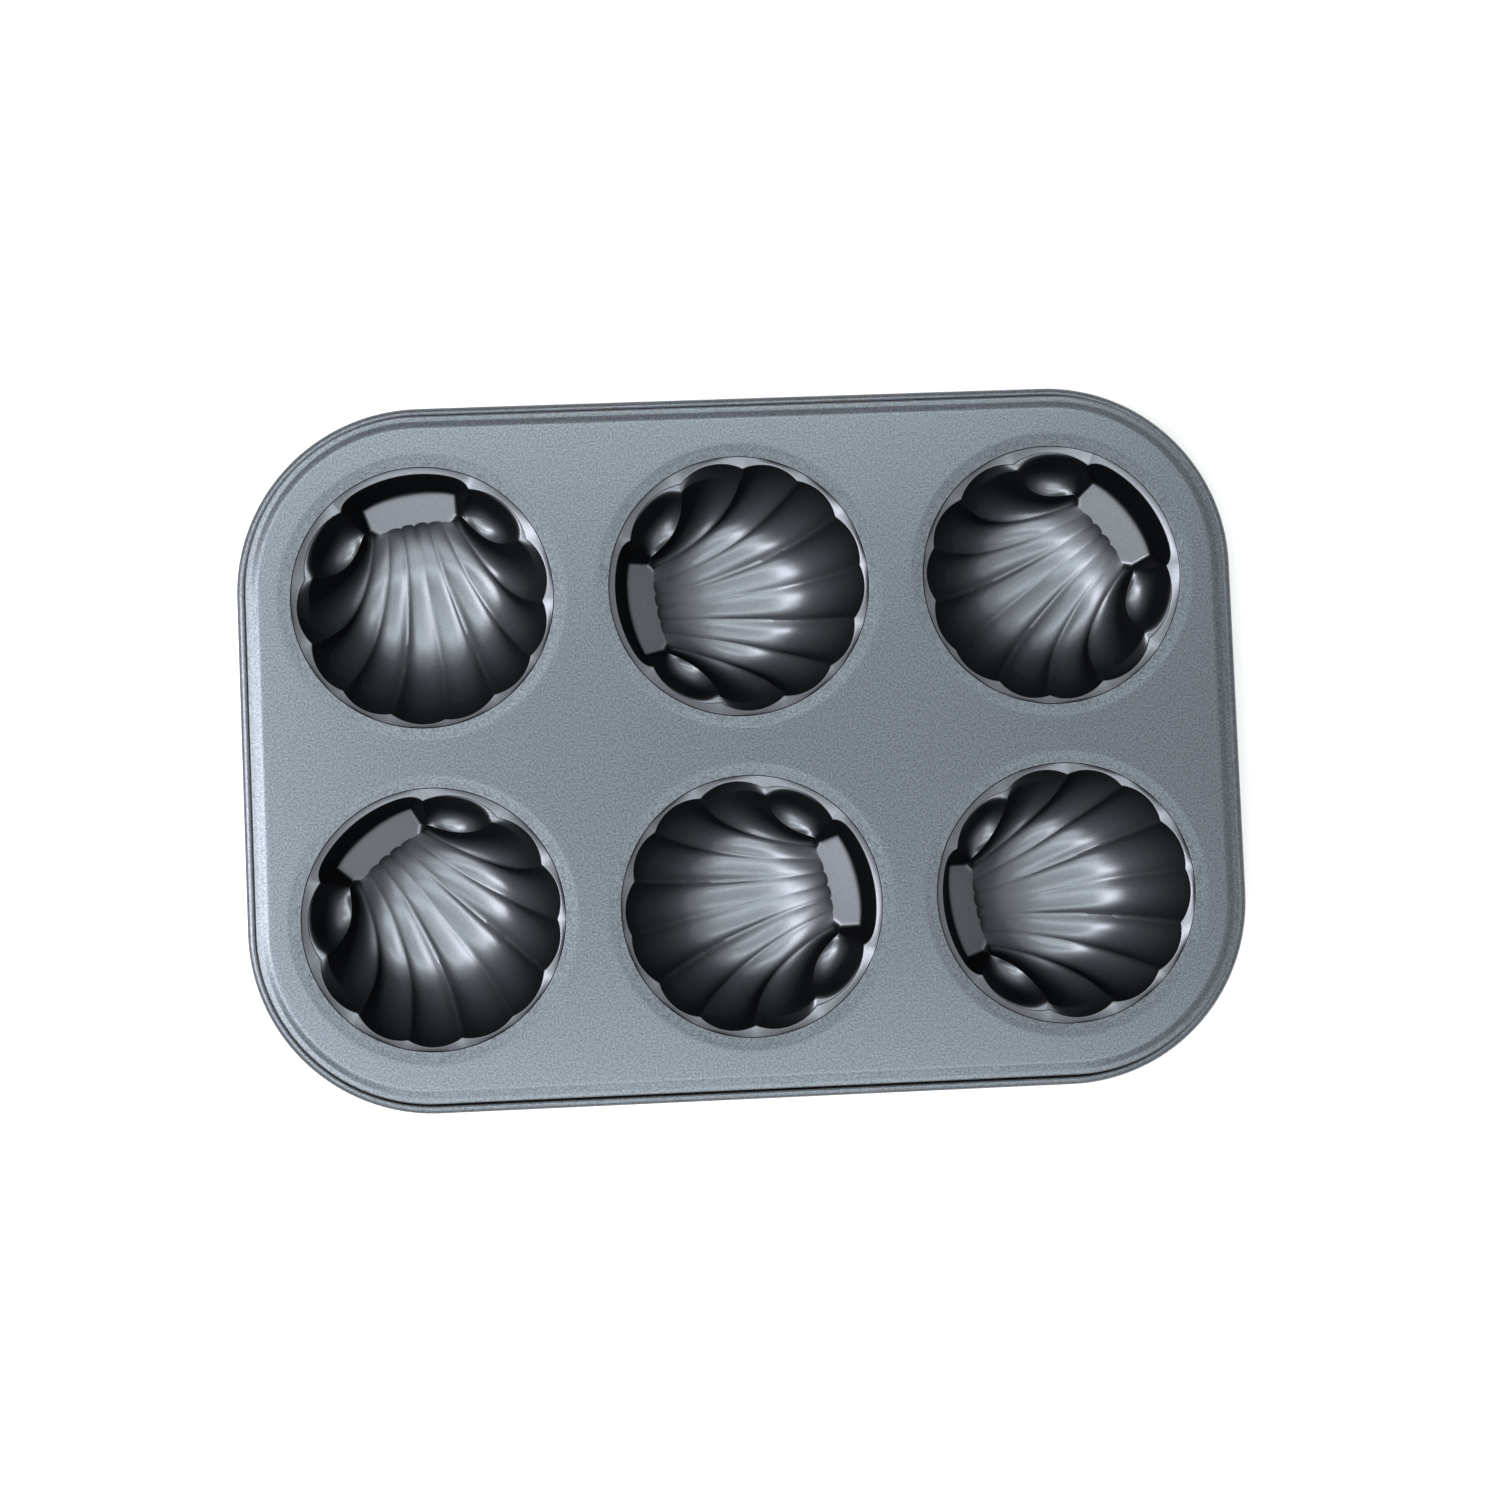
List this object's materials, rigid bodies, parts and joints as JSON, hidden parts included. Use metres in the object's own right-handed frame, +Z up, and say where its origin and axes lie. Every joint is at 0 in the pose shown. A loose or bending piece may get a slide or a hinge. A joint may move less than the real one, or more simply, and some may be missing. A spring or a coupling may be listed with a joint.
{
  "type": "muffin pan",
  "caption": "Muffin pan with round scallop-shell moulds, each turned its own way, locked into a flat rounded tray plate with a wired edge.",
  "frame": {"origin": "on the table, under the middle of the pan, which stands on the bottoms of its cups", "axes": "+X along the long side, +Y towards the back row of moulds, +Z up out of the moulds"},
  "size_m": [0.2652, 0.1866, 0.027],
  "materials": {
    "plate_coating": "satin grey non-stick coating with a fine speckle",
    "cup_coating": "smooth dark non-stick coating, half gloss",
    "wire_steel": "plain drawn steel wire"
  },
  "bodies": {
    "root": {"tray_plate": "plate_coating", "rim_wire": "wire_steel", "cup_back_left": "cup_coating", "cup_back_middle": "cup_coating", "cup_back_right": "cup_coating", "cup_front_left": "cup_coating", "cup_front_middle": "cup_coating", "cup_front_right": "cup_coating"}
  },
  "joints": []
}
